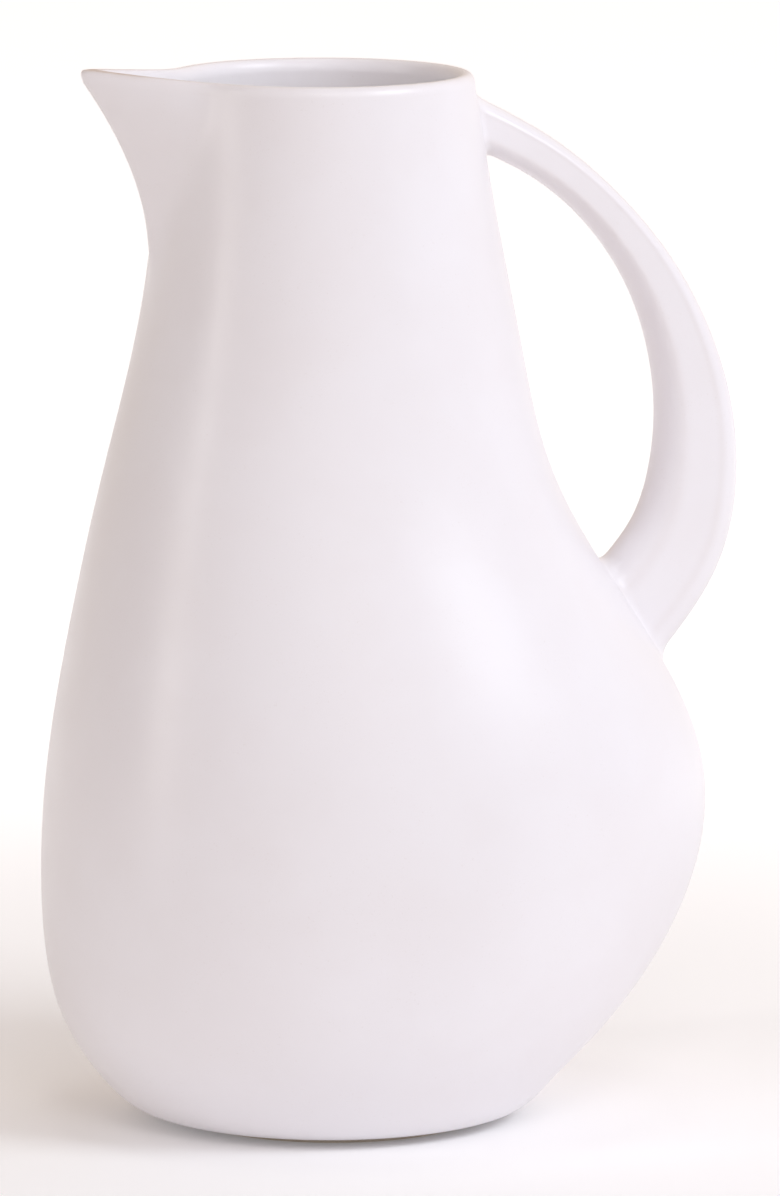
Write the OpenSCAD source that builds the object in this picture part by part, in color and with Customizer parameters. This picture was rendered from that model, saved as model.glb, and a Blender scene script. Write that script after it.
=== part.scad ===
// A ceramic pitcher: a full belly that leans out to the back, a tapered neck,
// a pinched beak and one strap handle that thickens towards its foot.
// +Z is up. The origin is the centre of the foot, on the table.
// The beak points to -X and the handle to +X. The XZ plane is a mirror plane.
// Every wall, joint and rim meets its neighbour on the same points, face to face.

/* [Body] */
// Height of the pouring rim above the table
rim_height = 270; // [250:5:290]
// Scale of the body from side to side
side_scale = 1; // [0.92:0.01:1.08]
// Thickness of the belly wall
belly_wall = 5; // [4:0.5:6]
// Thickness of the wall at the rim
rim_wall = 4.5; // [4:0.5:5.5]
// Height of the rounded lip on top of the wall
lip_height = 3.5; // [2:0.5:4]
// Squareness of the lip's section: 2 is half an ellipse
lip_squareness = 2.2; // [2:0.1:3]
// Squareness of the lip's section at the beak's tip
lip_beak_squareness = 4; // [2:0.5:4]

/* [Foot and floor] */
// Outer radius of the foot ring
foot_radius = 38; // [36:1:41]
// Width of the foot ring
foot_width = 6; // [4:1:8]
// Height of the foot ring
foot_height = 1.5; // [1:0.5:3]
// Thickness of the floor
floor_thickness = 5; // [4:0.5:7]
// Radius of the floor slab, where it meets the belly's bottom edge
floor_radius = 30; // [24:1:32]
// Radius of the round corner between the floor and the wall inside
corner_radius = 8; // [4:1:12]

/* [Beak] */
// How far the beak's tip stands out from the neck
beak_reach = 26; // [20:0.5:30]
// Height above the table at which the beak starts to leave the neck
beak_start = 208; // [200:1:215]
// How late the beak swings out: a larger number keeps it close to the neck for longer
beak_curl = 2.2; // [1.8:0.1:3]
// Angle between the beak's side and its centre line, at its tip
beak_angle = 28; // [25:1:34]
// How much blunter the beak is at its foot
beak_foot_spread = 22; // [14:1:26]
// Thickness of the beak's wall as a share of the neck's
beak_wall_share = 0.6; // [0.5:0.05:1]
// How much the tip stands above the rim
beak_lift = 3; // [0:0.5:6]
// How far the lip leans out at the tip
beak_lip = 1.5; // [0:0.5:3]
// Softness of the crease between beak and neck
beak_blend = 1; // [1:0.5:3]

/* [Handle] */
// Scale of the handle's width
handle_width_scale = 1; // [0.8:0.05:1.2]
// Share of the handle's half thickness that the outer face is domed over
outer_dome = 0.55; // [0.3:0.05:0.8]
// Share of the handle's half thickness that the inner face is domed over
inner_dome = 0.6; // [0.2:0.05:0.8]
// How far the clay pad at the neck spreads
upper_pad_spread = 1.5; // [1:0.5:3]
// How far the clay pad at the belly spreads
lower_pad_spread = 2; // [1:0.5:4]
// How far from the wall a pad starts to spread
pad_length = 5; // [4:0.5:10]

/* [Hidden] */

glaze_white = [0.95, 0.93, 0.94];
bare_clay = [0.84, 0.79, 0.73];

// Control rows of the body, from its bottom edge to the rim:
// height above the foot, reach to the front, reach to the back, half width
body_rows = [
    [0, 42, 42, 41],
    [1.5, 52, 51, 49.5],
    [8.5, 60, 56.5, 54],
    [27, 73.5, 76.5, 67.5],
    [58, 76.5, 96, 75],
    [93, 74.5, 100, 75],
    [128, 68, 78.5, 64.5],
    [163, 60.5, 54.5, 53.5],
    [198, 50.5, 48.5, 48],
    [233, 45, 41, 43],
    [268, 42.5, 35.5, 39],
];
body_end = len(body_rows) - 1;
rise = (rim_height - foot_height) / body_rows[body_end][0];

// Control rows of the handle's centre line, from inside the neck to inside the belly:
// x, height, half thickness, half width
handle_rows = [
    [32, 258.5, 6.5, 7],
    [55.5, 248, 5.5, 7],
    [74, 232, 5.5, 7],
    [88.5, 212, 7, 7.5],
    [97, 187, 9.5, 8],
    [98, 165, 11.5, 8.5],
    [93.5, 144, 13, 9],
    [78.5, 127, 14, 9.5],
    [64, 111, 14, 9.5],
];
handle_end = len(handle_rows) - 1;
// Places along the handle where the pads give way to the strap
upper_joint_end = 0.75;
lower_joint_start = 6.5;

// Body mesh: columns round the body, columns on each half of the beak, steps to a row
columns = 60;
beak_columns = 5;
steps_per_row = 3;
// Rows at which the neck starts and at which the beak starts
shoulder_row = 7;
beak_row = 8 + 2 / steps_per_row;
// Half angles of the beak panel: its foot, its top, and the even spacing below it
beak_foot_angle = 14;
beak_top_angle = 27;
even_angle = 360 / columns * beak_columns;
// Rounding of the beak's tip, in degrees
tip_round = 3;
lip_steps = 8;
handle_sides = 24;
handle_step = 0.25;

floor_top = foot_height + floor_thickness;
wall_top = rim_height - lip_height;

function clamp(x) = min(max(x, 0), 1);
function ease(x) = clamp(x) ^ 2 * (3 - 2 * clamp(x));
function mix(a, b, f) = a * (1 - f) + b * f;

// Uniform cubic B-spline through control rows, straight at both ends
function control(rows, i) =
    i < 0 ? 2 * rows[0] - rows[1] :
    i == len(rows) ? 2 * rows[i - 1] - rows[i - 2] :
    rows[i];
function weights(f) = [(1 - f) ^ 3, 3 * f ^ 3 - 6 * f ^ 2 + 4, 1 + 3 * f + 3 * f ^ 2 - 3 * f ^ 3, f ^ 3] / 6;
function spline(rows, t) =
    let (
        i = min(floor(t), len(rows) - 2),
        w = weights(t - i)
    )
    w[0] * control(rows, i - 1) + w[1] * control(rows, i)
    + w[2] * control(rows, i + 1) + w[3] * control(rows, i + 2);

// Body section at row t: height, centre x, half length, half width
function section(t) =
    let (s = spline(body_rows, t))
    [foot_height + s[0] * rise, (s[2] - s[1]) / 2, (s[1] + s[2]) / 2, s[3] * side_scale];
function row_at(height, low = 0, high = body_end, tries = 24) =
    tries == 0 ? (low + high) / 2 :
    section((low + high) / 2)[0] < height ? row_at(height, (low + high) / 2, high, tries - 1) :
    row_at(height, low, (low + high) / 2, tries - 1);

// Distance from the section's centre to an ellipse and to the beak's straight side
function oval(s, inset, angle) =
    1 / sqrt((cos(angle) / (s[2] - inset)) ^ 2 + (sin(angle) / (s[3] - inset)) ^ 2);
function beak_share(s) = max(0, (s[0] - beak_start) / (rim_height - beak_start));
// The beak is blunt at its foot and narrows towards its tip
function beak_half_angle(s) = beak_angle + beak_foot_spread * (1 - clamp(beak_share(s)) ^ 4);
function beak_side(s, inset, angle) =
    let (
        half = beak_half_angle(s),
        tip = s[2] + beak_reach * beak_share(s) ^ beak_curl
            - inset * beak_wall_share / sin(half),
        turn = half + sqrt(angle ^ 2 + tip_round ^ 2) - tip_round
    )
    turn < 90 ? tip * sin(half) / sin(turn) : tip * sin(half) * sin(min(turn, 180));
function soft_max(a, b) = (a + b) / 2 + sqrt(((a - b) / 2) ^ 2 + beak_blend ^ 2);
function reach(s, inset, angle) =
    let (neck = oval(s, inset, angle))
    mix(neck, soft_max(neck, beak_side(s, inset, angle)), ease(3 * beak_share(s)));

// How far the beak stands out at an angle, from 0 on the neck to about 1 at the tip
function beak_stand(s, angle) =
    clamp(beak_share(s)) * clamp((reach(s, 0, angle) - oval(s, 0, angle)) / beak_reach);
// The rim rises towards the beak's tip
function polar(s, distance, angle) =
    [s[1] - distance * cos(angle), distance * sin(angle), s[0] + beak_lift * beak_stand(s, angle)];

// The wall keeps its thickness square to its slope, and rounds into the floor
function slope(t, angle) =
    let (
        a = section(max(t - 0.05, 0)),
        b = section(min(t + 0.05, body_end))
    )
    (reach(b, 0, angle) - reach(a, 0, angle)) / (b[0] - a[0]);
function corner_inset(height) =
    let (rest = max(0, corner_radius + floor_top - height))
    rest > corner_radius ? corner_radius : corner_radius - sqrt(corner_radius ^ 2 - rest ^ 2);
function wall_inset(t, s, angle) =
    mix(belly_wall, rim_wall, t / body_end) * sqrt(1 + slope(t, angle) ^ 2) + corner_inset(s[0]);

floor_row = row_at(floor_top);
top_row = row_at(wall_top);
levels = floor(top_row * steps_per_row) + 2;
rows_in_floor = floor(floor_row * steps_per_row) + 1;
function level_row(k) = min(k / steps_per_row, top_row);

// Half angle of the beak panel's edge at row t
function seam_angle(t) =
    t < beak_row
    ? mix(even_angle, beak_foot_angle, ease((t - shoulder_row) / (beak_row - shoulder_row)))
    : mix(beak_foot_angle, beak_top_angle, (t - beak_row) / (body_end - beak_row));
function column_angle(t, j) =
    let (
        side = min(j, columns - j),
        edge = seam_angle(t),
        turn = side <= beak_columns
            ? edge * side / beak_columns
            : mix(edge, 180, (side - beak_columns) / (columns / 2 - beak_columns))
    )
    j <= columns / 2 ? turn : -turn;

// Level 0 is the edge of the floor slab, and levels 1 and up climb the wall
function slab_edge(j, height) =
    [-floor_radius * cos(column_angle(0, j)), floor_radius * sin(column_angle(0, j)), height];
function outer_point(k, j) =
    k == 0 ? slab_edge(j, foot_height) :
    let (
        t = level_row(k - 1),
        s = section(t),
        angle = column_angle(t, j)
    )
    polar(s, reach(s, 0, angle), angle);
function inner_wall_point(t, j) =
    let (
        s = section(t),
        angle = column_angle(t, j)
    )
    polar(s, reach(s, wall_inset(t, s, angle), angle), angle);
function inner_point(k, j) =
    k > rows_in_floor ? inner_wall_point(level_row(k - 1), j) :
    mix(slab_edge(j, floor_top), inner_wall_point(floor_row, j), k / (rows_in_floor + 1));

outer_skin = [for (k = [0 : levels]) [for (j = [0 : columns - 1]) outer_point(k, j)]];
inner_skin = [for (k = [0 : levels]) [for (j = [0 : columns - 1]) inner_point(k, j)]];

shoulder_level = shoulder_row * steps_per_row + 1;
beak_level = round(beak_row * steps_per_row) + 1;
function in_beak(k, j) = k >= beak_level && (j < beak_columns || j >= columns - beak_columns);
function region(k, j) =
    k < 0 || k >= levels ? "none" :
    k < shoulder_level ? "belly" :
    in_beak(k, j) ? "beak" : "neck";

function flat(list) = [for (part = list) each part];
// Two triangles on a quad, cut along a-c whichever way it faces
function quad(a, b, c, d, turned) = turned ? [[c, b, a], [d, c, a]] : [[a, b, c], [a, c, d]];

// The part of the wall whose cells lie in one region, as one closed solid
module wall(name, low, high) {
    count = (high - low + 1) * columns;
    function outer(k, j) = (k - low) * columns + (j + columns) % columns;
    function inner(k, j) = count + outer(k, j);
    function kept(k, j) = k >= low && k < high && region(k, (j + columns) % columns) == name;
    faces = [
        for (k = [low : high - 1], j = [0 : columns - 1])
            if (kept(k, j)) each concat(
                quad(outer(k, j), outer(k + 1, j), outer(k + 1, j + 1), outer(k, j + 1), true),
                quad(inner(k, j), inner(k + 1, j), inner(k + 1, j + 1), inner(k, j + 1), false),
                kept(k - 1, j) ? [] :
                quad(outer(k, j), outer(k, j + 1), inner(k, j + 1), inner(k, j), true),
                kept(k + 1, j) ? [] :
                quad(outer(k + 1, j), outer(k + 1, j + 1), inner(k + 1, j + 1), inner(k + 1, j), false),
                kept(k, j - 1) ? [] :
                quad(outer(k, j), outer(k + 1, j), inner(k + 1, j), inner(k, j), false),
                kept(k, j + 1) ? [] :
                quad(outer(k, j + 1), outer(k + 1, j + 1), inner(k + 1, j + 1), inner(k, j + 1), true)
            )
    ];
    points = concat(
        flat([for (k = [low : high]) outer_skin[k]]),
        flat([for (k = [low : high]) inner_skin[k]])
    );
    polyhedron(points, faces, convexity = 10);
}

// The whole body as if it were full, to cut the pads to the wall's own face
module full_body() {
    sides = [
        for (k = [0 : levels - 1], j = [0 : columns - 1]) each quad(
            k * columns + j, (k + 1) * columns + j,
            (k + 1) * columns + (j + 1) % columns, k * columns + (j + 1) % columns, true
        )
    ];
    bottom = [for (j = [columns - 1 : -1 : 0]) j];
    top = [for (j = [0 : columns - 1]) levels * columns + j];
    polyhedron(flat(outer_skin), concat(sides, [bottom], [top]), convexity = 4);
}

// Handle frame at place t: point, outward normal, half thickness, half width
function strap(t) =
    let (
        s = spline(handle_rows, t),
        a = spline(handle_rows, max(t - 0.02, 0)),
        b = spline(handle_rows, min(t + 0.02, handle_end)),
        along = [b[0] - a[0], b[1] - a[1]] / norm([b[0] - a[0], b[1] - a[1]])
    )
    [[s[0], 0, s[1]], [-along[1], 0, along[0]], s[2], s[3] * handle_width_scale];
// The strap's section at unit size: flat sides between a domed outer and a domed inner face
function rounded(angle) =
    let (
        side = angle > 180 ? -1 : 1,
        turn = side * (angle > 180 ? angle - 360 : angle)
    )
    turn < 60 ? [1 - outer_dome + outer_dome * cos(1.5 * turn), side * sin(1.5 * turn)] :
    turn <= 120 ? [mix(1 - outer_dome, inner_dome - 1, turn / 60 - 1), side] :
    [inner_dome - 1 - inner_dome * sin(1.5 * turn - 180), side * cos(1.5 * turn - 180)];

// Distance of a point from the body's wall, level with it
function clearance(p) =
    let (s = section(row_at(min(p[2], rim_height))))
    norm([p[0] - s[1], p[1]]) - reach(s, 0, atan2(p[1], s[1] - p[0]));
function pad_growth(p, spread) = spread * (1 - clamp(clearance(p) / pad_length)) ^ 2;
function strap_point(t, angle) =
    let (
        f = strap(t),
        c = rounded(angle),
        offset = f[1] * f[2] * c[0] + [0, f[3] * c[1], 0],
        spread = t < handle_end / 2 ? upper_pad_spread : lower_pad_spread
    )
    f[0] + offset * (1 + pad_growth(f[0] + offset, spread) / norm(offset));

// A length of the strap between two places, closed by flat ends
module strap_length(from, to) {
    count = round((to - from) / handle_step);
    rings = [
        for (i = [0 : count])
            [for (j = [0 : handle_sides - 1]) strap_point(mix(from, to, i / count), 360 * j / handle_sides)]
    ];
    sides = [
        for (i = [0 : count - 1], j = [0 : handle_sides - 1]) each quad(
            i * handle_sides + j, (i + 1) * handle_sides + j,
            (i + 1) * handle_sides + (j + 1) % handle_sides, i * handle_sides + (j + 1) % handle_sides, true
        )
    ];
    start = [for (j = [handle_sides - 1 : -1 : 0]) j];
    finish = [for (j = [0 : handle_sides - 1]) count * handle_sides + j];
    polyhedron(flat(rings), concat(sides, [start], [finish]), convexity = 4);
}

// A clay pad: a length of the strap, cut to the face of the body
module pad(from, to) {
    color(glaze_white)
        resize([0, 0, 0])
            difference() {
                strap_length(from, to);
                full_body();
            }
}

module foot_ring() {
    edge = 0.5;
    inner_radius = foot_radius - foot_width;
    color(bare_clay)
        rotate_extrude($fn = 120)
            polygon([
                [inner_radius, foot_height],
                [inner_radius, edge],
                [inner_radius + edge, 0],
                [foot_radius - edge, 0],
                [foot_radius, edge],
                [foot_radius, foot_height],
            ]);
}

module base_floor() {
    color(glaze_white)
        translate([0, 0, foot_height])
            linear_extrude(floor_thickness)
                polygon([for (j = [0 : columns - 1]) [slab_edge(j, 0)[0], slab_edge(j, 0)[1]]]);
}

module belly_shell() {
    color(glaze_white) wall("belly", 0, shoulder_level);
}

module neck_shell() {
    color(glaze_white) wall("neck", shoulder_level, levels);
}

module spout() {
    color(glaze_white) wall("beak", beak_level, levels);
}

// The lip is half an ellipse on top of the wall, all the way round.
// Along the beak it is squarer and leans out.
module rim_lip() {
    ring = lip_steps + 1;
    function stand(j) = beak_stand(section(top_row), column_angle(top_row, j));
    function power(j) = 2 / mix(lip_squareness, lip_beak_squareness, clamp(1.5 * stand(j)));
    function lip_point(k, j) =
        let (
            angle = 180 * k / lip_steps,
            outer = outer_skin[levels][j],
            across = inner_skin[levels][j] - outer,
            side = sign(cos(angle)) * abs(cos(angle)) ^ power(j),
            lift = abs(sin(angle)) ^ power(j)
        )
        outer + across * (1 - side) / 2
        + (lip_height * [0, 0, 1] - beak_lip * stand(j) * across / norm(across)) * lift;
    function at(k, j) = (j % columns) * ring + k;
    faces = [
        for (j = [0 : columns - 1]) each concat(
            [
                for (k = [0 : lip_steps - 1])
                    each quad(at(k, j), at(k + 1, j), at(k + 1, j + 1), at(k, j + 1), true)
            ],
            quad(at(0, j), at(0, j + 1), at(lip_steps, j + 1), at(lip_steps, j), true)
        )
    ];
    color(glaze_white)
        polyhedron([for (j = [0 : columns - 1], k = [0 : lip_steps]) lip_point(k, j)], faces, convexity = 6);
}

module handle_upper_joint() {
    pad(0, upper_joint_end);
}

module handle() {
    color(glaze_white) strap_length(upper_joint_end, lower_joint_start);
}

module handle_lower_joint() {
    pad(lower_joint_start, handle_end);
}

foot_ring();
base_floor();
belly_shell();
neck_shell();
spout();
rim_lip();
handle_upper_joint();
handle();
handle_lower_joint();
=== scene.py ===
"""A ceramic pitcher: glazed body, beak, lip and strap handle on a bare clay foot ring.

Lengths in the shape functions are millimetres; meshes are made in metres.
+Z is up, the beak points to -X and the handle to +X.
"""
import math

import bmesh
import bpy
import numpy as np
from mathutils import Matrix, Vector


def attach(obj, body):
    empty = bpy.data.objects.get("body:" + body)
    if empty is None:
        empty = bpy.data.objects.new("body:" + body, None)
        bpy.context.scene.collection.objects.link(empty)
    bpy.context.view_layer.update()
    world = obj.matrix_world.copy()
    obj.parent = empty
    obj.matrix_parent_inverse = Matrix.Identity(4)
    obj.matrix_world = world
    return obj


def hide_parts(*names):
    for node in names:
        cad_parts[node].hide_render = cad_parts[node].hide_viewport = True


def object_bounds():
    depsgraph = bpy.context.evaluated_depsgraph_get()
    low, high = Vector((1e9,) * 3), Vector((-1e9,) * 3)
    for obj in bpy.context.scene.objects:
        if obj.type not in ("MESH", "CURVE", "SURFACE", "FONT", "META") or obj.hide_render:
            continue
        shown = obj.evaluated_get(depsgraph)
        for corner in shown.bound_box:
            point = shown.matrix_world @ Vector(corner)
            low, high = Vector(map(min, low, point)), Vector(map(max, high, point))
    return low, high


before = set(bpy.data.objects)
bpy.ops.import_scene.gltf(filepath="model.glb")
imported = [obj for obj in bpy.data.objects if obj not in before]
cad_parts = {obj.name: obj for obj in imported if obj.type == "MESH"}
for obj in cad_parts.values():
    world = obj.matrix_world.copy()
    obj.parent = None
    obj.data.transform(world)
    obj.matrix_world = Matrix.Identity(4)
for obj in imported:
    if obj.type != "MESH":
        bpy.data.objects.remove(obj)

CAD_LOW, CAD_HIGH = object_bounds()
MM = 0.001

# ---------------------------------------------------------------- dimensions

RIM_HEIGHT = 270.0
BELLY_WALL = 5.0
RIM_WALL = 4.5
LIP_HEIGHT = 3.5
LIP_SQUARENESS = 2.2
LIP_BEAK_SQUARENESS = 4.0
LIP_STEPS = 24
FOOT_RADIUS = 38.0
FOOT_WIDTH = 6.0
FOOT_HEIGHT = 1.5
FLOOR_THICKNESS = 5.0
FLOOR_RADIUS = 30.0
CORNER_RADIUS = 8.0
BEAK_REACH = 26.0
BEAK_START = 208.0
BEAK_CURL = 2.2
BEAK_ANGLE = math.radians(28)
BEAK_FOOT_SPREAD = math.radians(22)
BEAK_WALL_SHARE = 0.6
BEAK_LIFT = 3.0
BEAK_LIP = 1.5
BEAK_BLEND = 1.0
TIP_ROUND = math.radians(3)

# Height above the foot, reach to the front, reach to the back, half width
BODY_ROWS = np.array([
    [0, 42, 42, 41],
    [1.5, 52, 51, 49.5],
    [8.5, 60, 56.5, 54],
    [27, 73.5, 76.5, 67.5],
    [58, 76.5, 96, 75],
    [93, 74.5, 100, 75],
    [128, 68, 78.5, 64.5],
    [163, 60.5, 54.5, 53.5],
    [198, 50.5, 48.5, 48],
    [233, 45, 41, 43],
    [268, 42.5, 35.5, 39],
], float)
BODY_END = len(BODY_ROWS) - 1

# x, height, half thickness, half width of the handle
HANDLE_ROWS = np.array([
    [32, 258.5, 6.5, 7],
    [55.5, 248, 5.5, 7],
    [74, 232, 5.5, 7],
    [88.5, 212, 7, 7.5],
    [97, 187, 9.5, 8],
    [98, 165, 11.5, 8.5],
    [93.5, 144, 13, 9],
    [78.5, 127, 14, 9.5],
    [64, 111, 14, 9.5],
], float)
HANDLE_END = len(HANDLE_ROWS) - 1
UPPER_JOINT_END = 0.75
LOWER_JOINT_START = 6.5
OUTER_DOME = 0.55
INNER_DOME = 0.6

# Rows and half angles at which the neck and the beak start
SHOULDER_ROW = 7.0
BEAK_ROW = 8 + 2 / 3
EVEN_ANGLE = math.radians(30)
BEAK_FOOT_ANGLE = math.radians(14)
BEAK_TOP_ANGLE = math.radians(27)

FLOOR_TOP = FOOT_HEIGHT + FLOOR_THICKNESS
WALL_TOP = RIM_HEIGHT - LIP_HEIGHT

# How often a search halves its range
HALVINGS = 40
# Small steps for slopes and normals, in rows or radians
SLOPE_STEP = 0.05
NORMAL_ROW_STEP = 1e-3
NORMAL_ANGLE_STEP = 1e-4
# The beak has blended into the neck at one part in this many of its height
BEAK_FADE = 3
# How soon the lip turns square as the beak stands out
LIP_SQUARENESS_GAIN = 1.5

# ------------------------------------------------------------ body functions


def clamp(x):
    return np.clip(x, 0, 1)


def ease(x):
    return clamp(x) ** 2 * (3 - 2 * clamp(x))


def mix(a, b, f):
    return a * (1 - f) + b * f


def spline(rows, t):
    """Uniform cubic B-spline through control rows, straight at both ends."""
    rows = np.vstack([2 * rows[0] - rows[1], rows, 2 * rows[-1] - rows[-2]])
    t = np.asarray(t, float)
    i = np.clip(np.floor(t).astype(int), 0, len(rows) - 4)
    f = (t - i)[..., None]
    return (
        (1 - f) ** 3 * rows[i]
        + (3 * f**3 - 6 * f**2 + 4) * rows[i + 1]
        + (1 + 3 * f + 3 * f**2 - 3 * f**3) * rows[i + 2]
        + f**3 * rows[i + 3]
    ) / 6


def section(t):
    """Height, centre x, half length and half width of the body at row t."""
    s = spline(BODY_ROWS, t)
    rise = (RIM_HEIGHT - FOOT_HEIGHT) / BODY_ROWS[-1, 0]
    return (
        FOOT_HEIGHT + s[..., 0] * rise,
        (s[..., 2] - s[..., 1]) / 2,
        (s[..., 1] + s[..., 2]) / 2,
        s[..., 3],
    )


def row_at(height):
    """The row at which the body reaches a height."""
    low = np.zeros_like(height, dtype=float)
    high = np.full_like(low, BODY_END)
    for _ in range(HALVINGS):
        middle = (low + high) / 2
        under = section(middle)[0] < height
        low = np.where(under, middle, low)
        high = np.where(under, high, middle)
    return (low + high) / 2


def oval(s, inset, angle):
    """Distance from the section's centre to its oval, seen at an angle from the beak."""
    return 1 / np.sqrt(
        (np.cos(angle) / (s[2] - inset)) ** 2 + (np.sin(angle) / (s[3] - inset)) ** 2
    )


def beak_share(s):
    """0 where the beak starts and below, 1 at the rim."""
    return np.maximum(0, (s[0] - BEAK_START) / (RIM_HEIGHT - BEAK_START))


def beak_half_angle(s):
    """The beak is blunt at its foot and narrows to its tip."""
    return BEAK_ANGLE + BEAK_FOOT_SPREAD * (1 - clamp(beak_share(s)) ** 4)


def beak_side(s, inset, angle):
    """Distance to the beak's flat side, with its tip rounded."""
    half = beak_half_angle(s)
    tip = (
        s[2] + BEAK_REACH * beak_share(s) ** BEAK_CURL
        - inset * BEAK_WALL_SHARE / np.sin(half)
    ) * np.sin(half)
    turn = half + np.sqrt(angle**2 + TIP_ROUND**2) - TIP_ROUND
    ahead = tip / np.sin(np.minimum(turn, math.pi / 2))
    return np.where(turn < math.pi / 2, ahead, tip * np.sin(np.minimum(turn, math.pi)))


def soft_max(a, b):
    return (a + b) / 2 + np.sqrt(((a - b) / 2) ** 2 + BEAK_BLEND**2)


def reach(s, inset, angle):
    """Distance from the section's centre to the wall, beak included."""
    neck = oval(s, inset, angle)
    with_beak = soft_max(neck, beak_side(s, inset, angle))
    return mix(neck, with_beak, ease(BEAK_FADE * beak_share(s)))


def beak_stand(s, angle):
    """How far the beak stands out of the neck, as a share of its reach."""
    return clamp(beak_share(s)) * clamp((reach(s, 0, angle) - oval(s, 0, angle)) / BEAK_REACH)


def polar(s, distance, angle):
    return np.stack([
        s[1] - distance * np.cos(angle),
        distance * np.sin(angle),
        s[0] + BEAK_LIFT * beak_stand(s, angle),
    ], -1)


def slope(t, angle):
    """How fast the wall moves out with height."""
    a = section(np.maximum(t - SLOPE_STEP, 0))
    b = section(np.minimum(t + SLOPE_STEP, BODY_END))
    return (reach(b, 0, angle) - reach(a, 0, angle)) / (b[0] - a[0])


def corner_inset(height):
    """Extra wall that rounds the corner between floor and wall."""
    rest = np.clip(CORNER_RADIUS + FLOOR_TOP - height, 0, CORNER_RADIUS)
    return CORNER_RADIUS - np.sqrt(CORNER_RADIUS**2 - rest**2)


def wall_inset(t, s, angle):
    thickness = mix(BELLY_WALL, RIM_WALL, t / BODY_END)
    return thickness * np.sqrt(1 + slope(t, angle) ** 2) + corner_inset(s[0])


def outer_point(t, angle):
    s = section(t)
    return polar(s, reach(s, 0, angle), angle)


def inner_point(t, angle):
    s = section(t)
    return polar(s, reach(s, wall_inset(t, s, angle), angle), angle)


def unit(v):
    return v / np.linalg.norm(v, axis=-1, keepdims=True)


def outer_normal(t, angle):
    a, r = NORMAL_ANGLE_STEP, NORMAL_ROW_STEP
    across = outer_point(t, angle + a) - outer_point(t, angle - a)
    up = outer_point(t + r, angle) - outer_point(t - r, angle)
    return unit(np.cross(up, across))


# ---------------------------------------------------------------- body grid

COLUMNS = 300
BEAK_COLUMNS = COLUMNS // 12
# Distances between rings, in rows: the wall, the turn above the foot, the mouth
STEP = 1 / 12
FINE_STEP = STEP / 3
MOUTH_STEP = STEP / 1.5
FINE_ROWS_END = 2
# Rings from the slab's edge out to the wall, and degrees between rings of the inner corner
UNDER_STEPS = 4
CORNER_TURN = 6

side_index = np.minimum(np.arange(COLUMNS), COLUMNS - np.arange(COLUMNS))
side_sign = np.where(np.arange(COLUMNS) <= COLUMNS // 2, 1, -1)


def column_angles(t):
    """The angle of every column at row t, from the beak, positive to +Y."""
    if t < BEAK_ROW:
        f = ease((t - SHOULDER_ROW) / (BEAK_ROW - SHOULDER_ROW))
        edge = mix(EVEN_ANGLE, BEAK_FOOT_ANGLE, f)
    else:
        f = (t - BEAK_ROW) / (BODY_END - BEAK_ROW)
        edge = mix(BEAK_FOOT_ANGLE, BEAK_TOP_ANGLE, f)
    beyond = (side_index - BEAK_COLUMNS) / (COLUMNS / 2 - BEAK_COLUMNS)
    turn = np.where(
        side_index <= BEAK_COLUMNS,
        edge * side_index / BEAK_COLUMNS,
        mix(edge, math.pi, beyond),
    )
    return turn * side_sign


top_row = float(row_at(np.array(WALL_TOP)))
floor_row = float(row_at(np.array(FLOOR_TOP)))
corner_row = float(row_at(np.array(FLOOR_TOP + CORNER_RADIUS)))


def rows_between(a, b, step):
    count = max(1, round((b - a) / step))
    return [a + (b - a) * i / count for i in range(count + 1)]


neck_rows = rows_between(SHOULDER_ROW, BEAK_ROW, STEP)
mouth_rows = rows_between(BEAK_ROW, top_row, MOUTH_STEP)
upper_rows = neck_rows[:-1] + mouth_rows
outer_rows = (
    rows_between(0, FINE_ROWS_END, FINE_STEP)[:-1]
    + rows_between(FINE_ROWS_END, SHOULDER_ROW, STEP)[:-1]
    + upper_rows
)
corner_turns = [math.radians(a) for a in range(CORNER_TURN, 90, CORNER_TURN)]
corner_rows = [
    float(row_at(np.array(FLOOR_TOP + CORNER_RADIUS * (1 - math.cos(a))))) for a in corner_turns
]
inner_rows = (
    [floor_row] + corner_rows + rows_between(corner_row, SHOULDER_ROW, STEP)[:-1] + upper_rows
)


def slab_edge(height):
    angles = column_angles(0)
    return np.stack([
        -FLOOR_RADIUS * np.cos(angles), FLOOR_RADIUS * np.sin(angles), np.full(COLUMNS, height)
    ], -1)


def outer_ring(t):
    return outer_point(np.full(COLUMNS, t), column_angles(t))


def inner_ring(t):
    return inner_point(np.full(COLUMNS, t), column_angles(t))


outer_skin = [
    mix(slab_edge(FOOT_HEIGHT), outer_ring(0), i / UNDER_STEPS) for i in range(UNDER_STEPS)
] + [outer_ring(t) for t in outer_rows]
inner_skin = [
    mix(slab_edge(FLOOR_TOP), inner_ring(floor_row), i / UNDER_STEPS) for i in range(UNDER_STEPS)
] + [inner_ring(t) for t in inner_rows]
outer_skin, inner_skin = np.array(outer_skin), np.array(inner_skin)


def lip_rings():
    """Rings over the lip, from outside to inside: half an ellipse, squarer along the beak."""
    outer, inner = outer_skin[-1], inner_skin[-1]
    across = inner - outer
    stand = beak_stand(section(top_row), column_angles(top_row))[:, None]
    squareness = mix(LIP_SQUARENESS, LIP_BEAK_SQUARENESS, clamp(stand * LIP_SQUARENESS_GAIN))
    power = 2 / squareness
    rings = []
    for i in range(1, LIP_STEPS):
        turn = math.pi * i / LIP_STEPS
        side = np.sign(math.cos(turn)) * abs(math.cos(turn)) ** power
        lift = math.sin(turn) ** power
        rings.append(
            outer + across * (1 - side) / 2
            + (LIP_HEIGHT * np.array([0, 0, 1]) - BEAK_LIP * stand * unit(across)) * lift
        )
    return rings


lip = np.array(lip_rings())
skin = np.concatenate([outer_skin, lip, inner_skin[::-1]])


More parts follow.
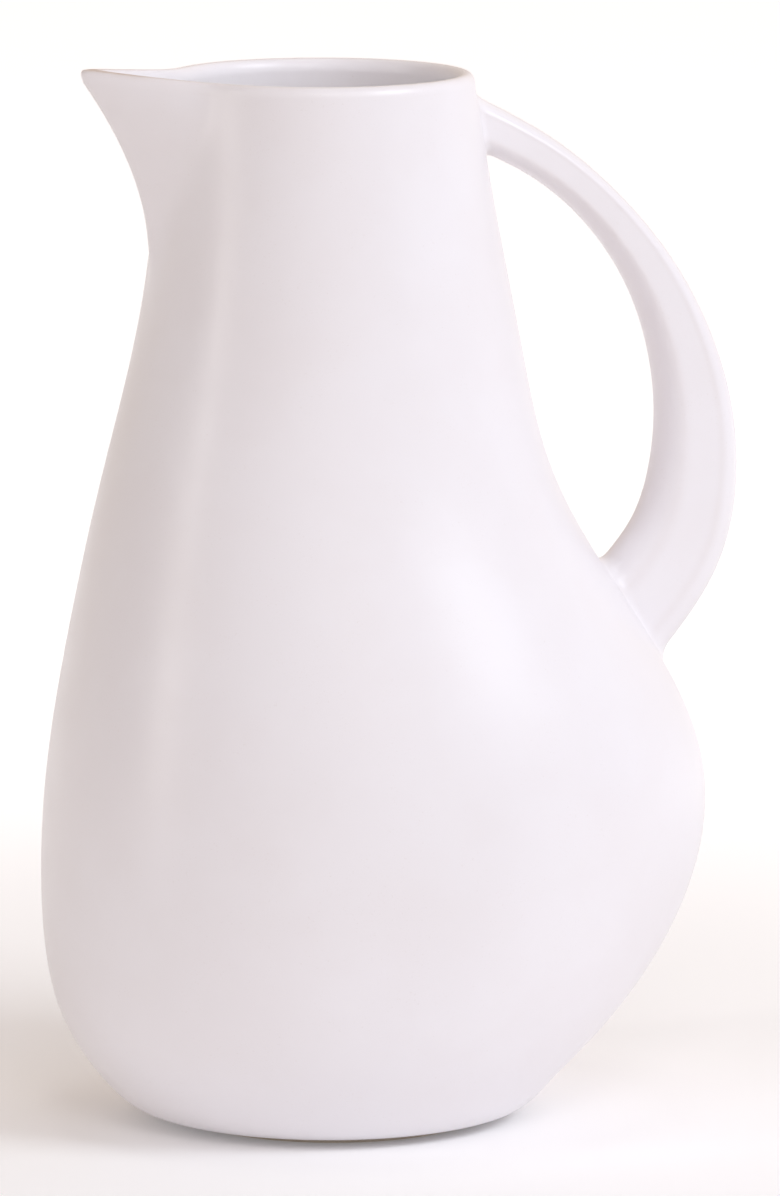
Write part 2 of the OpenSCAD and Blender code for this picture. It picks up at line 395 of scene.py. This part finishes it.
def grid_normals(points):
    """Outward unit normals of a grid of rings by central differences."""
    along = np.gradient(points, axis=0)
    around = np.roll(points, -1, axis=1) - np.roll(points, 1, axis=1)
    return unit(np.cross(along, around))


skin_normals = grid_normals(skin)
OUT_TOP = len(outer_skin) - 1
IN_TOP = OUT_TOP + len(lip) + 1
OUT_SHOULDER = UNDER_STEPS + outer_rows.index(SHOULDER_ROW)
IN_SHOULDER = len(skin) - 1 - (UNDER_STEPS + inner_rows.index(SHOULDER_ROW))
OUT_BEAK = UNDER_STEPS + outer_rows.index(BEAK_ROW)

# ------------------------------------------------------------- mesh building


def make_piece(name, points, faces, normals, edge_tint=None, inside=None):
    """A smooth piece in metres with its own normals, kept inside the CAD model's box."""
    co = np.clip(np.asarray(points) * MM, np.array(CAD_LOW), np.array(CAD_HIGH))
    corners = np.concatenate([np.asarray(f) for f in faces])
    used, index = np.unique(corners, return_inverse=True)
    cursor, kept = 0, []
    for f in faces:
        kept.append(index[cursor : cursor + len(f)].tolist())
        cursor += len(f)
    mesh = bpy.data.meshes.new(name)
    mesh.from_pydata(co[used].tolist(), [], kept)
    turned = bmesh.new()
    turned.from_mesh(mesh)
    bmesh.ops.recalc_face_normals(turned, faces=turned.faces)
    turned.to_mesh(mesh)
    turned.free()
    mesh.shade_smooth()
    mesh.normals_split_custom_set_from_vertices(np.asarray(normals)[used].tolist())
    for key, share in (("edge_tint", edge_tint), ("inside", inside)):
        values = np.zeros(len(used)) if share is None else np.asarray(share)[used]
        layer = mesh.attributes.new(key, "FLOAT", "POINT")
        layer.data.foreach_set("value", values.astype(np.float32))
    mesh.update()
    piece = bpy.data.objects.new(name, mesh)
    bpy.context.scene.collection.objects.link(piece)
    return piece


def at(k, j):
    """Index of the body grid's point in ring k and column j."""
    return k * COLUMNS + j % COLUMNS


def quad(*places):
    """A face on the body grid through places given as (ring, column)."""
    return [at(k, j) for k, j in places]


def skin_faces(cells):
    """Quads from each ring to the next, at cells given as (ring, column)."""
    return [quad((k + 1, j), (k + 1, j + 1), (k, j + 1), (k, j)) for k, j in cells]


def in_beak(j):
    j = j % COLUMNS
    return j < BEAK_COLUMNS or j >= COLUMNS - BEAK_COLUMNS


flat_points = skin.reshape(-1, 3)
flat_normals = skin_normals.reshape(-1, 3)


# Strength of a darker, warmer line along the lip: at the rim, more along the beak, how fast it
# grows there, and how sharply it falls off from the crest
LIP_LINE = 0.35
LIP_LINE_BEAK = 0.65
LIP_LINE_GAIN = 1.6
LIP_LINE_POWER = 2.2


def lip_crest_line():
    """A narrow line along the crest of the lip, strongest where the beak stands out."""
    edge_tint = np.zeros(skin.shape[:2])
    stand = beak_stand(section(top_row), column_angles(top_row))
    share = LIP_LINE + LIP_LINE_BEAK * clamp(LIP_LINE_GAIN * stand)
    middle = (OUT_TOP + IN_TOP) / 2
    for k in range(OUT_TOP, IN_TOP + 1):
        edge_tint[k] = share * clamp(1 - abs(k - middle) / (IN_TOP - middle)) ** LIP_LINE_POWER
    return edge_tint.reshape(-1)


skin_lip_line = lip_crest_line()
# Share of each ring that lies inside, where the glaze is painted paler as painted light
skin_inside = np.repeat(clamp((np.arange(len(skin)) - OUT_TOP) / (IN_TOP - OUT_TOP)), COLUMNS)


def belly():
    """The wall up to the shoulder, closed at the shoulder and at the floor slab's edge."""
    last = len(skin) - 1
    cells = [(k, j) for k in range(OUT_SHOULDER) for j in range(COLUMNS)]
    cells += [(k, j) for k in range(IN_SHOULDER, last) for j in range(COLUMNS)]
    faces = skin_faces(cells)
    out, inn = OUT_SHOULDER, IN_SHOULDER
    for j in range(COLUMNS):
        faces.append(quad((out, j + 1), (inn, j + 1), (inn, j), (out, j)))
        faces.append(quad((last, j), (last, j + 1), (0, j + 1), (0, j)))
    return make_piece("belly_wall", flat_points, faces, flat_normals, skin_lip_line, skin_inside)


def paired(k_out):
    """The inner ring that faces an outer ring at or above the shoulder."""
    return IN_SHOULDER - (k_out - OUT_SHOULDER)


def upper_wall(name, wanted):
    """The part of the wall above the shoulder whose cells are wanted, closed all round."""
    faces = []
    for a in range(OUT_SHOULDER, OUT_TOP):
        b = a + 1
        a_in, b_in = paired(a), paired(b)
        for j in range(COLUMNS):
            if not wanted(a, j):
                continue
            faces += skin_faces([(a, j), (b_in, j)])
            if a == OUT_SHOULDER or not wanted(a - 1, j):
                faces.append(quad((a, j), (a_in, j), (a_in, j + 1), (a, j + 1)))
            if b == OUT_TOP or not wanted(b, j):
                faces.append(quad((b, j), (b, j + 1), (b_in, j + 1), (b_in, j)))
            if not wanted(a, j - 1):
                faces.append(quad((a, j), (b, j), (b_in, j), (a_in, j)))
            if not wanted(a, j + 1):
                faces.append(quad((a, j + 1), (a_in, j + 1), (b_in, j + 1), (b, j + 1)))
    return make_piece(name, flat_points, faces, flat_normals, skin_lip_line, skin_inside)


def neck():
    return upper_wall("neck_wall", lambda k, j: not (k >= OUT_BEAK and in_beak(j)))


def beak():
    return upper_wall("beak_panel", lambda k, j: k >= OUT_BEAK and in_beak(j))


def rim():
    faces = skin_faces([(k, j) for k in range(OUT_TOP, IN_TOP) for j in range(COLUMNS)])
    for j in range(COLUMNS):
        faces.append(quad((OUT_TOP, j), (OUT_TOP, j + 1), (IN_TOP, j + 1), (IN_TOP, j)))
    return make_piece("rounded_lip", flat_points, faces, flat_normals, skin_lip_line, skin_inside)


def lathe(name, profile, edge_tint, count):
    """A closed ring turned round Z from a closed profile of (radius, height)."""
    angles = np.linspace(0, 2 * math.pi, count, endpoint=False)

    def turned(flat):
        return np.stack([
            flat[:, None, 0] * np.cos(angles),
            flat[:, None, 0] * np.sin(angles),
            np.repeat(flat[:, None, 1], count, 1),
        ], -1).reshape(-1, 3)

    profile = np.array(profile, float)
    along = np.roll(profile, -1, 0) - np.roll(profile, 1, 0)
    normals = unit(np.stack([along[:, 1], -along[:, 0]], -1))
    n = len(profile)
    faces = [
        [k * count + j, k * count + (j + 1) % count,
         (k + 1) % n * count + (j + 1) % count, (k + 1) % n * count + j]
        for k in range(n) for j in range(count)
    ]
    edge_mark = np.repeat(np.array(edge_tint, float), count)
    return make_piece(name, turned(profile), faces, turned(normals), edge_mark)


# The foot ring: sides, radius of its edges and steps round them
FOOT_SIDES = 240
FOOT_EDGE = 0.7
FOOT_EDGE_STEPS = 8
# How rubbed it is: at the ends of an edge's curve, more at its middle, and between the edges
FOOT_WORN = 0.4
FOOT_WORN_CREST = 0.6
FOOT_WORN_BETWEEN = 0.3


def foot():
    """The ring that the pitcher stands on, with softly rubbed edges."""
    inner, outer, edge = FOOT_RADIUS - FOOT_WIDTH, FOOT_RADIUS, FOOT_EDGE
    turns = [math.radians(90 * i / FOOT_EDGE_STEPS) for i in range(FOOT_EDGE_STEPS + 1)]
    edge_worn = [FOOT_WORN + FOOT_WORN_CREST * math.sin(2 * a) for a in turns]
    between = range(1, FOOT_EDGE_STEPS)
    profile = [(outer, FOOT_HEIGHT), (inner, FOOT_HEIGHT)]
    profile += [(inner + edge - edge * math.cos(a), edge - edge * math.sin(a)) for a in turns]
    profile += [
        (inner + edge + (outer - inner - 2 * edge) * i / FOOT_EDGE_STEPS, 0) for i in between
    ]
    profile += [(outer - edge + edge * math.sin(a), edge - edge * math.cos(a)) for a in turns]
    edge_tint = [0, 0] + edge_worn + [FOOT_WORN_BETWEEN for _ in between] + edge_worn
    return lathe("clay_foot", profile, edge_tint, FOOT_SIDES)


FLOOR_RINGS = 12


def floor_slab():
    """The slab inside the belly's bottom edge; its rings share the belly's columns."""
    shares = [i / FLOOR_RINGS for i in range(1, FLOOR_RINGS + 1)]
    points = [slab_edge(FOOT_HEIGHT) * [r, r, 1] for r in shares]
    points += [slab_edge(FLOOR_TOP) * [r, r, 1] for r in shares[::-1]]
    rings = np.array(points)
    n = len(rings)
    centre_low, centre_high = n * COLUMNS, n * COLUMNS + 1
    faces = skin_faces([(k, j) for k in range(n - 1) for j in range(COLUMNS)])
    faces += [[at(0, j), at(0, j + 1), centre_low] for j in range(COLUMNS)]
    faces += [[at(n - 1, j + 1), at(n - 1, j), centre_high] for j in range(COLUMNS)]
    flat = np.concatenate([rings.reshape(-1, 3), [[0, 0, FOOT_HEIGHT], [0, 0, FLOOR_TOP]]])
    normals = np.zeros_like(flat)
    normals[: n // 2 * COLUMNS, 2] = -1
    normals[n // 2 * COLUMNS :, 2] = 1
    normals[centre_low] = [0, 0, -1]
    return make_piece("floor_disc", flat, faces, normals, inside=np.ones(len(flat)))


# ------------------------------------------------------------------- handle

HANDLE_SIDES = 120
# Distance between rings of the strap, and small steps along it, in rows
STRAP_RING_STEP = 1 / 20
STRAP_STEP = 0.02
ROOT_STEP = 0.01
# A root's fillet: rings on it and beyond it, its largest share of the root, and how far its
# curve is pulled towards the corner
FILLET_RINGS = 10
ROOT_STRAP_RINGS = 5
FILLET_SHARE = 0.8
FILLET_PULL = 0.62
# How far the fillets run along the handle and along the wall, (at the sides, above and below)
UPPER_HANDLE_RUN, UPPER_WALL_RUN = (2.4, 4.5), (1.8, 3.5)
LOWER_HANDLE_RUN, LOWER_WALL_RUN = (2.0, 5.5), (1.2, 5.0)
# How far inside the wall a root is closed
ROOT_DEPTH = 0.8
# Where the glaze runs thin along the strap's edges, as (turn, width) in radians, and how thin
HANDLE_EDGES = ((math.pi / 3, 0.12), (2.2, 0.15))
HANDLE_THIN = 0.25
handle_turns = np.linspace(0, 2 * math.pi, HANDLE_SIDES, endpoint=False)


def strap_frame(t):
    """Centre, outward direction, half thickness and half width of the strap at place t."""
    s = spline(HANDLE_ROWS, t)
    a = spline(HANDLE_ROWS, np.maximum(t - STRAP_STEP, 0))
    b = spline(HANDLE_ROWS, np.minimum(t + STRAP_STEP, HANDLE_END))
    along = unit(b[..., :2] - a[..., :2])
    nothing = np.zeros_like(s[..., 0])
    centre = np.stack([s[..., 0], nothing, s[..., 1]], -1)
    outward = np.stack([-along[..., 1], nothing, along[..., 0]], -1)
    return centre, outward, s[..., 2], s[..., 3]


def rounded(angle):
    """The section at unit size: flat sides between a domed outer and a domed inner face."""
    side = np.where(angle > math.pi, -1.0, 1.0)
    turn = np.where(angle > math.pi, 2 * math.pi - angle, angle)
    third = math.pi / 3
    outer, inner = 1.5 * turn, 1.5 * turn - math.pi
    flat = mix(1 - OUTER_DOME, INNER_DOME - 1, turn / third - 1)
    in_outer, in_inner = turn < third, turn > 2 * third
    c = np.where(
        in_outer, 1 - OUTER_DOME + OUTER_DOME * np.cos(outer),
        np.where(in_inner, INNER_DOME - 1 - INNER_DOME * np.sin(inner), flat),
    )
    s = np.where(in_outer, np.sin(outer), np.where(in_inner, np.cos(inner), 1.0))
    return c, side * s


def strap_point(t, angle):
    """A point on the strap at place t, on the side that angle names."""
    centre, outward, thick, wide = strap_frame(t)
    c, s = rounded(angle)
    return (
        centre
        + outward * (thick * c)[..., None]
        + np.array([0, 1, 0]) * (wide * s)[..., None]
    )


def wall_place(p):
    """Row and angle of the body at a point's height and bearing."""
    t = row_at(np.minimum(p[..., 2], RIM_HEIGHT))
    s = section(t)
    return t, np.arctan2(p[..., 1], s[1] - p[..., 0])


def clearance(p):
    """How far a point is outside the wall, across its section."""
    t, angle = wall_place(p)
    s = section(t)
    return np.hypot(p[..., 0] - s[1], p[..., 1]) - reach(s, 0, angle)


def strap_meets_wall(inside, outside):
    """The place along the strap where each of its lines meets the wall."""
    low = np.full(HANDLE_SIDES, float(inside))
    high = np.full(HANDLE_SIDES, float(outside))
    for _ in range(HALVINGS):
        middle = (low + high) / 2
        buried = clearance(strap_point(middle, handle_turns)) < 0
        low = np.where(buried, middle, low)
        high = np.where(buried, high, middle)
    return (low + high) / 2


def root_rings(inside, joint, handle_run, wall_run):
    """Rings of a root, from the wall out to the joint, with a fillet onto the wall.

    The runs are (at the sides, above and below).
    """
    upright = np.cos(handle_turns) ** 2
    handle_run = mix(*handle_run, upright)
    wall_run = mix(*wall_run, upright)[:, None]
    sense = 1 if joint > inside else -1
    meet = strap_meets_wall(inside, joint)
    corner = strap_point(meet, handle_turns)
    ahead = strap_point(meet + ROOT_STEP, handle_turns)
    behind = strap_point(meet - ROOT_STEP, handle_turns)
    speed = np.linalg.norm(ahead - behind, axis=-1) / (2 * ROOT_STEP)
    start = meet + sense * np.minimum(handle_run / speed, FILLET_SHARE * np.abs(joint - meet))
    top = strap_point(start, handle_turns)
    down = unit(strap_point(start - sense * ROOT_STEP, handle_turns) - top)
    centre = corner.mean(axis=0)
    t, angle = wall_place(corner)
    n = outer_normal(t, angle)
    out = corner - centre
    out = unit(out - (out * n).sum(-1, keepdims=True) * n)
    foot_point = corner + out * wall_run
    t, angle = wall_place(foot_point)
    landing = outer_point(t, angle)
    n = outer_normal(t, angle)
    back = corner - landing
    back = unit(back - (back * n).sum(-1, keepdims=True) * n)
    run = np.linalg.norm(corner - top, axis=-1, keepdims=True)
    a, b = top + down * run * FILLET_PULL, landing + back * wall_run * FILLET_PULL
    rings = []
    for i in range(FILLET_RINGS):
        f = i / FILLET_RINGS
        g = 1 - f
        rings.append(g**3 * landing + 3 * g**2 * f * b + 3 * g * f**2 * a + f**3 * top)
    for i in range(ROOT_STRAP_RINGS):
        place = mix(start, joint, i / ROOT_STRAP_RINGS)
        rings.append(strap_point(place, handle_turns))
    return rings, landing, n


upper_root, upper_landing, upper_wall_normals = root_rings(
    0, UPPER_JOINT_END, UPPER_HANDLE_RUN, UPPER_WALL_RUN
)
lower_root, lower_landing, lower_wall_normals = root_rings(
    HANDLE_END, LOWER_JOINT_START, LOWER_HANDLE_RUN, LOWER_WALL_RUN
)
strap_places = rows_between(UPPER_JOINT_END, LOWER_JOINT_START, STRAP_RING_STEP)
strap = [strap_point(np.full(HANDLE_SIDES, t), handle_turns) for t in strap_places]
handle_skin = np.array(upper_root + strap + lower_root[::-1])
handle_normals = grid_normals(handle_skin)
handle_normals[0] = upper_wall_normals
handle_normals[-1] = lower_wall_normals
UPPER_CUT = len(upper_root)
LOWER_CUT = UPPER_CUT + len(strap) - 1


def handle_piece(name, first, last):
    """A length of the handle grid, closed at both ends; a wall end is closed inside the wall."""
    rings = list(handle_skin[first : last + 1])
    normals = list(handle_normals[first : last + 1])
    if first == 0:
        rings.insert(0, upper_landing - upper_wall_normals * ROOT_DEPTH)
        normals.insert(0, -upper_wall_normals)
    if last == len(handle_skin) - 1:
        rings.append(lower_landing - lower_wall_normals * ROOT_DEPTH)
        normals.append(-lower_wall_normals)
    n, m = len(rings), HANDLE_SIDES
    faces = [
        [k * m + j, (k + 1) * m + j, (k + 1) * m + (j + 1) % m, k * m + (j + 1) % m]
        for k in range(n - 1) for j in range(m)
    ]
    faces.append(list(range(m)))
    faces.append(list(range((n - 1) * m, n * m))[::-1])
    turn = np.minimum(handle_turns, 2 * math.pi - handle_turns)
    edge = sum(np.exp(-(((turn - place) / width) ** 2)) for place, width in HANDLE_EDGES)
    edge_tint = np.tile(HANDLE_THIN * edge, n)
    points = np.array(rings).reshape(-1, 3)
    return make_piece(name, points, faces, np.array(normals).reshape(-1, 3), edge_tint)


# ---------------------------------------------------------------- materials


class Nodes:
    """Short names for building a node tree."""

    def __init__(self, name):
        self.material = bpy.data.materials.new(name)
        self.material.use_nodes = True
        self.tree = self.material.node_tree
        self.shader = self.tree.nodes["Principled BSDF"]
        place = self.tree.nodes.new("ShaderNodeTexCoord")
        self.place = place.outputs["Object"]

    def node(self, kind, **settings):
        made = self.tree.nodes.new(kind)
        for key, value in settings.items():
            setattr(made, key, value)
        return made

    def link(self, a, b):
        self.tree.links.new(a, b)

    def noise(self, scale, detail, rough):
        """Noise from 0 to 1 at a scale per metre, with its octaves and their roughness."""
        made = self.node("ShaderNodeTexNoise")
        made.inputs["Scale"].default_value = scale
        made.inputs["Detail"].default_value = detail
        made.inputs["Roughness"].default_value = rough
        self.link(self.place, made.inputs["Vector"])
        return made.outputs["Fac"]

    def ramp(self, value, low, high, out_low=0.0, out_high=1.0):
        """Eases a value between low and high into the range out_low to out_high."""
        made = self.node("ShaderNodeMapRange", interpolation_type="SMOOTHSTEP")
        made.inputs["From Min"].default_value = low
        made.inputs["From Max"].default_value = high
        made.inputs["To Min"].default_value = out_low
        made.inputs["To Max"].default_value = out_high
        self.link(value, made.inputs["Value"])
        return made.outputs["Result"]

    def blend(self, factor, a, b):
        made = self.node("ShaderNodeMix", data_type="RGBA")
        for value, socket in ((factor, made.inputs[0]), (a, made.inputs[6]), (b, made.inputs[7])):
            if isinstance(value, (tuple, float)):
                socket.default_value = value
            else:
                self.link(value, socket)
        return made.outputs[2]

    def math(self, operation, a, b):
        made = self.node("ShaderNodeMath", operation=operation)
        for value, socket in ((a, made.inputs[0]), (b, made.inputs[1])):
            if isinstance(value, (int, float)):
                socket.default_value = value
            else:
                self.link(value, socket)
        return made.outputs[0]

    def attribute(self, name):
        made = self.node("ShaderNodeAttribute", attribute_name=name)
        return made.outputs["Fac"]

    def bump(self, height, distance, under=None):
        """Relief of a depth in metres, on top of the relief under it."""
        made = self.node("ShaderNodeBump")
        made.inputs["Distance"].default_value = distance
        made.inputs["Strength"].default_value = 1.0
        self.link(height, made.inputs["Height"])
        if under is not None:
            self.link(under, made.inputs["Normal"])
        return made.outputs["Normal"]


def glaze(name, light, deep, edge_mark, edge_share):
    """Satin white glaze: soft clouding, fine specks, faint orange peel, a darker, warmer tint on
    the edges and along the lip's crest.
    """
    n = Nodes(name)
    cloud = n.ramp(n.noise(26, 3, 0.55), 0.35, 0.68)
    colour = n.blend(cloud, light, deep)
    # Painted light: the inner faces take a paler colour that stands in for light reaching inside
    colour = n.blend(n.attribute("inside"), colour, INSIDE_PAINTED_LIGHT)
    specks = n.ramp(n.noise(1900, 2, 0.5), 0.62, 0.78, 0.0, 0.14)
    scatter = n.ramp(n.noise(90, 2, 0.5), 0.42, 0.6)
    colour = n.blend(n.math("MULTIPLY", specks, scatter), colour, SPECK)
    edge_tint = n.attribute("edge_tint")
    broken = n.ramp(n.noise(160, 3, 0.6), 0.25, 0.75, 0.7, 1.0)
    amount = n.math("MULTIPLY", n.math("MULTIPLY", edge_tint, broken), edge_share)
    colour = n.blend(amount, colour, edge_mark)
    n.link(colour, n.shader.inputs["Base Color"])
    patches = n.ramp(n.noise(70, 3, 0.6), 0.3, 0.7, 0.30, 0.36)
    fine = n.ramp(n.noise(900, 2, 0.6), 0.3, 0.7, -0.02, 0.03)
    rough = n.math("ADD", n.math("ADD", patches, fine), n.math("MULTIPLY", edge_tint, EDGE_ROUGHNESS))
    n.link(rough, n.shader.inputs["Roughness"])
    n.shader.inputs["IOR"].default_value = GLAZE_IOR
    peel = n.bump(n.noise(420, 2, 0.5), PEEL_DEPTH)
    wave = n.bump(n.noise(38, 2, 0.4), WAVE_DEPTH, peel)
    n.link(wave, n.shader.inputs["Normal"])
    return n.material


def clay(name):
    """Unglazed fired clay: dry, warm and finely gritty, paler where it is rubbed."""
    n = Nodes(name)
    patches = n.ramp(n.noise(120, 4, 0.6), 0.3, 0.7)
    tone = n.blend(patches, CLAY, CLAY_DEEP)
    grit = n.ramp(n.noise(2600, 2, 0.5), 0.62, 0.72, 0.0, 0.6)
    tone = n.blend(grit, tone, CLAY_GRIT)
    broken = n.ramp(n.noise(300, 3, 0.6), 0.3, 0.7, 0.3, 0.8)
    rubbed = n.math("MULTIPLY", n.attribute("edge_tint"), broken)
    tone = n.blend(rubbed, tone, CLAY_RUBBED)
    n.link(tone, n.shader.inputs["Base Color"])
    rough = n.ramp(n.noise(500, 3, 0.6), 0.3, 0.7, 0.78, 0.92)
    n.link(rough, n.shader.inputs["Roughness"])
    grain = n.bump(n.noise(1800, 4, 0.7), GRAIN_DEPTH)
    unevenness = n.bump(n.noise(240, 3, 0.5), CLAY_WAVE_DEPTH, grain)
    n.link(unevenness, n.shader.inputs["Normal"])
    return n.material


WHITE = (0.86, 0.835, 0.86, 1)
WHITE_DEEP = (0.845, 0.815, 0.835, 1)
EDGE_COLOUR = (0.50, 0.37, 0.30, 1)
# Painted light: paler colour of the inner faces, brightening the inside of the mouth and body
INSIDE_PAINTED_LIGHT = (0.96, 0.935, 0.955, 1)
SPECK = (0.56, 0.47, 0.40, 1)
CLAY = (0.60, 0.50, 0.40, 1)
CLAY_DEEP = (0.50, 0.41, 0.32, 1)
CLAY_GRIT = (0.30, 0.23, 0.17, 1)
CLAY_RUBBED = (0.68, 0.60, 0.50, 1)
GLAZE_IOR = 1.5
# Added roughness where the edge tint is
EDGE_ROUGHNESS = 0.08
# Depths of relief in metres
PEEL_DEPTH = 0.000012
WAVE_DEPTH = 0.00010
GRAIN_DEPTH = 0.00008
CLAY_WAVE_DEPTH = 0.00012
# How strongly the darker, warmer edge colour shows where the edge tint is
BODY_EDGE_SHARE = 0.3
LIP_EDGE_SHARE = 1.0

body_glaze = glaze("satin_white_glaze", WHITE, WHITE_DEEP, EDGE_COLOUR, BODY_EDGE_SHARE)
lip_glaze = glaze("lip_line_glaze", WHITE, WHITE_DEEP, EDGE_COLOUR, LIP_EDGE_SHARE)
foot_clay = clay("bare_fired_clay")

# ------------------------------------------------------------------- pieces


def place(piece, node, material, slot):
    piece.data.materials.append(material)
    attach(piece, "root")
    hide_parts(node)


place(foot(), "foot_ring", foot_clay, "bare_clay")
place(floor_slab(), "base_floor", body_glaze, "glaze")
place(belly(), "belly_shell", body_glaze, "glaze")
place(neck(), "neck_shell", body_glaze, "glaze")
place(beak(), "spout", body_glaze, "glaze")
place(rim(), "rim_lip", lip_glaze, "lip_glaze")
place(handle_piece("handle_root_upper", 0, UPPER_CUT), "handle_upper_joint", body_glaze, "glaze")
place(handle_piece("handle_strap", UPPER_CUT, LOWER_CUT), "handle", body_glaze, "glaze")
place(
    handle_piece("handle_root_lower", LOWER_CUT, len(handle_skin) - 1),
    "handle_lower_joint", body_glaze, "glaze",
)

# -------------------------------------------------------------------- stage

# Angles in degrees, lengths in metres, lens and sensor in millimetres
CAMERA_AZIMUTH = -17
CAMERA_ELEVATION = 8.9
CAMERA_DISTANCE = 2.5
CAMERA_LENS = 293.5
CAMERA_SENSOR = 36
CAMERA_NEAR, CAMERA_FAR = 0.1, 100
AIM = Vector((0, 0, 0.135))
AIM_RIGHT = 0.0145
AIM_UP = -0.0004
LIGHT_AIM = Vector((0, 0, 0.14))

STUDIO_FLOOR_RADIUS = 30.0
STUDIO_FLOOR_SIDES = 96
STUDIO_FLOOR_ROUGHNESS = 0.9
STUDIO_FLOOR_SPECULAR = 0.1
# Painted shade: the floor's darker colour in front of the object, and its pale colour behind it
FLOOR_FRONT_PAINTED_SHADE = (0.68, 0.64, 0.61, 1)
FLOOR_BACK = (0.94, 0.93, 0.93, 1)
# How far behind the object, seen from the camera, the floor's painted shade gives way to its pale
# colour and its painted glow starts, and how strongly it glows at both ends
FLOOR_SHADE_START, FLOOR_SHADE_END = -0.40, -0.12
FLOOR_GLOW_START, FLOOR_GLOW_END = 0.02, 0.8
FLOOR_GLOW_NEAR, FLOOR_GLOW_FAR = 0.08, 0.5


def bearing(azimuth, elevation):
    """Unit vector from the object, azimuth 0 towards -Y and positive towards +X, in degrees."""
    a, e = math.radians(azimuth), math.radians(elevation)
    return Vector((math.sin(a) * math.cos(e), -math.cos(a) * math.cos(e), math.sin(e)))


def camera():
    data = bpy.data.cameras.new("camera")
    data.lens = CAMERA_LENS
    data.sensor_width = CAMERA_SENSOR
    data.clip_start, data.clip_end = CAMERA_NEAR, CAMERA_FAR
    made = bpy.data.objects.new("camera", data)
    bpy.context.scene.collection.objects.link(made)
    back = bearing(CAMERA_AZIMUTH, CAMERA_ELEVATION)
    right = (-back).cross(Vector((0, 0, 1))).normalized()
    up = right.cross(-back)
    aim = AIM + right * AIM_RIGHT + up * AIM_UP
    made.location = aim + back * CAMERA_DISTANCE
    made.rotation_mode = "QUATERNION"
    made.rotation_quaternion = (-back).to_track_quat("-Z", "Y")
    bpy.context.scene.camera = made


def softbox(name, azimuth, elevation, distance, width, height, power, colour):
    data = bpy.data.lights.new(name, "AREA")
    data.shape = "RECTANGLE"
    data.size, data.size_y = width, height
    data.energy = power
    data.color = colour
    made = bpy.data.objects.new(name, data)
    bpy.context.scene.collection.objects.link(made)
    toward = bearing(azimuth, elevation)
    made.location = LIGHT_AIM + toward * distance
    made.rotation_mode = "QUATERNION"
    made.rotation_quaternion = toward.to_track_quat("Z", "Y")


def floor():
    """A pale round floor with painted shade in front of the object and a painted glow, strongest
    behind it.
    """
    radius, count = STUDIO_FLOOR_RADIUS, STUDIO_FLOOR_SIDES
    turns = [2 * math.pi * i / count for i in range(count)]
    ring = [(radius * math.cos(a), radius * math.sin(a), 0) for a in turns]
    mesh = bpy.data.meshes.new("studio_floor")
    mesh.from_pydata(ring, [], [list(range(count))])
    made = bpy.data.objects.new("studio_floor", mesh)
    bpy.context.scene.collection.objects.link(made)
    n = Nodes("studio_floor")
    n.shader.inputs["Roughness"].default_value = STUDIO_FLOOR_ROUGHNESS
    n.shader.inputs["Specular IOR Level"].default_value = STUDIO_FLOOR_SPECULAR
    facing = n.node("ShaderNodeVectorMath", operation="DOT_PRODUCT")
    n.link(n.place, facing.inputs[0])
    facing.inputs[1].default_value = -bearing(CAMERA_AZIMUTH, 0)
    behind = facing.outputs["Value"]
    # Painted shade on the floor in front of the object, fading to pale behind it
    shade = n.ramp(behind, FLOOR_SHADE_START, FLOOR_SHADE_END)
    n.link(n.blend(shade, FLOOR_FRONT_PAINTED_SHADE, FLOOR_BACK), n.shader.inputs["Base Color"])
    glow = n.ramp(behind, FLOOR_GLOW_START, FLOOR_GLOW_END, FLOOR_GLOW_NEAR, FLOOR_GLOW_FAR)
    n.shader.inputs["Emission Color"].default_value = (1, 1, 1, 1)
    n.link(glow, n.shader.inputs["Emission Strength"])
    mesh.materials.append(n.material)


def sky(entries):
    """Light from all round as a sum of soft lobes given as (azimuth, elevation, colour)."""
    made = bpy.data.worlds.new("studio")
    made.use_nodes = True
    tree = made.node_tree
    where = tree.nodes.new("ShaderNodeTexCoord")
    total = None
    for azimuth, elevation, colour in entries:
        facing = tree.nodes.new("ShaderNodeVectorMath")
        facing.operation = "DOT_PRODUCT"
        facing.inputs[1].default_value = bearing(azimuth, elevation)
        tree.links.new(where.outputs["Generated"], facing.inputs[0])
        front = tree.nodes.new("ShaderNodeMath")
        front.operation = "MAXIMUM"
        front.inputs[1].default_value = 0
        tree.links.new(facing.outputs["Value"], front.inputs[0])
        lobe = tree.nodes.new("ShaderNodeVectorMath")
        lobe.operation = "SCALE"
        lobe.inputs[0].default_value = colour
        tree.links.new(front.outputs[0], lobe.inputs["Scale"])
        if total is None:
            total = lobe.outputs[0]
        else:
            both = tree.nodes.new("ShaderNodeVectorMath")
            tree.links.new(total, both.inputs[0])
            tree.links.new(lobe.outputs[0], both.inputs[1])
            total = both.outputs[0]
    tree.links.new(total, tree.nodes["Background"].inputs["Color"])
    bpy.context.scene.world = made


camera()
floor()
# From the camera's side, from behind and from the right
sky([
    (-17, 15, (0.59, 0.53, 0.53)),
    (163, 15, (0.80, 0.66, 0.52)),
    (73, 15, (0.43, 0.44, 0.52)),
])
# Name, azimuth, elevation, distance, width, height, power, colour
softbox("key_softbox", 43, 35, 2.4, 1.0, 0.7, 20.5, (0.93, 1.0, 1.06))
softbox("top_softbox", 0, 88, 2.2, 0.6, 0.6, 3, (1.0, 1.0, 1.0))
softbox("fill_softbox", -10, 35, 2.4, 0.7, 0.7, 6, (1.0, 1.0, 1.0))
softbox("window_strip", -84, 10, 2.0, 0.17, 1.6, 7.5, (1.0, 0.97, 0.94))

bpy.context.scene.view_settings.view_transform = "Standard"
bpy.context.scene.view_settings.look = "None"
bpy.context.scene.view_settings.exposure = 0
bpy.context.scene.view_settings.gamma = 1
